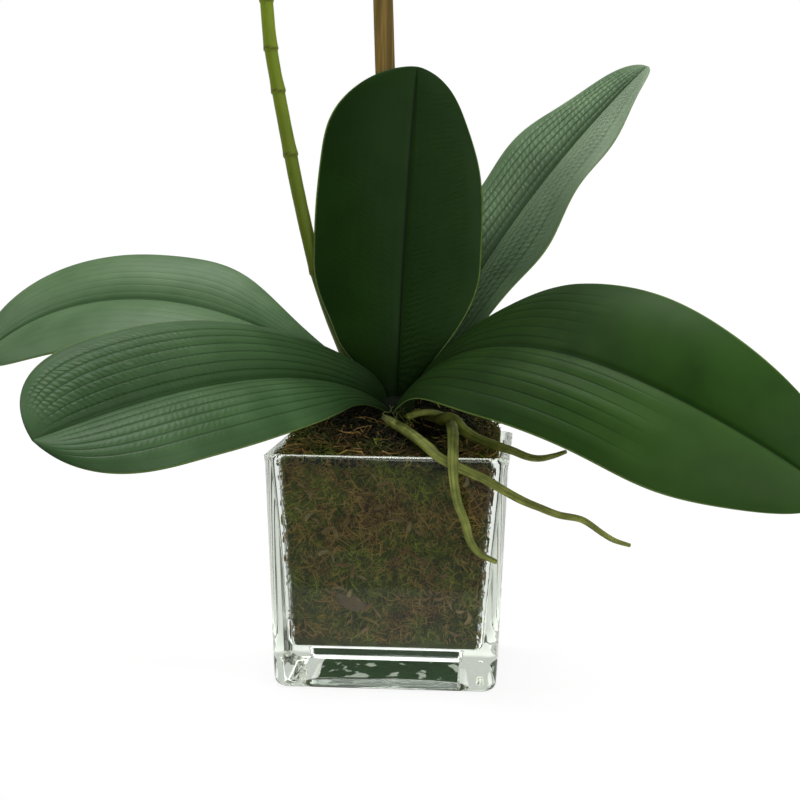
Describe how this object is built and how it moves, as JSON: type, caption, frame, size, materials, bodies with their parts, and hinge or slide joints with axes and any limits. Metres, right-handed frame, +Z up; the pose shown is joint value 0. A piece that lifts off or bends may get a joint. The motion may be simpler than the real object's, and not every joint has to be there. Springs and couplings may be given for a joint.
{
  "type": "potted moth orchid arrangement",
  "caption": "Moth orchid with broad leaves, aerial roots and an arching flower spike, set in moss in a square glass vase.",
  "frame": {"origin": "middle of the vase's flat underside", "axes": "+Z up along the vase's middle line; the vase's faces look along X and Y; the front leaves and roots are on the -Y side"},
  "size_m": [0.4937, 0.2799, 0.6776],
  "materials": {
    "clear_glass": "thick pressed clear glass, fire-polished",
    "floral_foam": "dark green wet-look foam",
    "moss": "preserved sheet moss, green and brown",
    "crown": "matt olive",
    "leaf": "satin dark green with embossed veins",
    "bamboo": "split bamboo, brown",
    "spike": "satin olive green",
    "tie_wire": "green coated wire",
    "root": "matt olive green",
    "petal": "matt white petal with faint veins",
    "lip": "yellow lip with red freckles",
    "bud": "pale green bud"
  },
  "bodies": {
    "root": {"glass_vase": "clear_glass", "foam_block": "floral_foam", "moss_sides": "moss", "moss_top": "moss", "crown": "crown", "leaf_upright": "leaf", "leaf_right_back": "leaf", "leaf_right_front": "leaf", "leaf_left_front": "leaf", "leaf_left_back": "leaf", "bamboo_stake": "bamboo", "flower_spike": "spike", "spike_tie": "tie_wire", "root_long": "root", "root_branched": "root", "bloom_1_petals": "petal", "bloom_1_lip": "lip", "bloom_2_petals": "petal", "bloom_2_lip": "lip", "bloom_3_petals": "petal", "bloom_3_lip": "lip", "bloom_4_petals": "petal", "bloom_4_lip": "lip", "bloom_5_petals": "petal", "bloom_5_lip": "lip", "bloom_6_petals": "petal", "bloom_6_lip": "lip", "bloom_7_petals": "petal", "bloom_7_lip": "lip", "bud_1": "bud", "bud_2": "bud", "bud_3": "bud"}
  },
  "joints": []
}
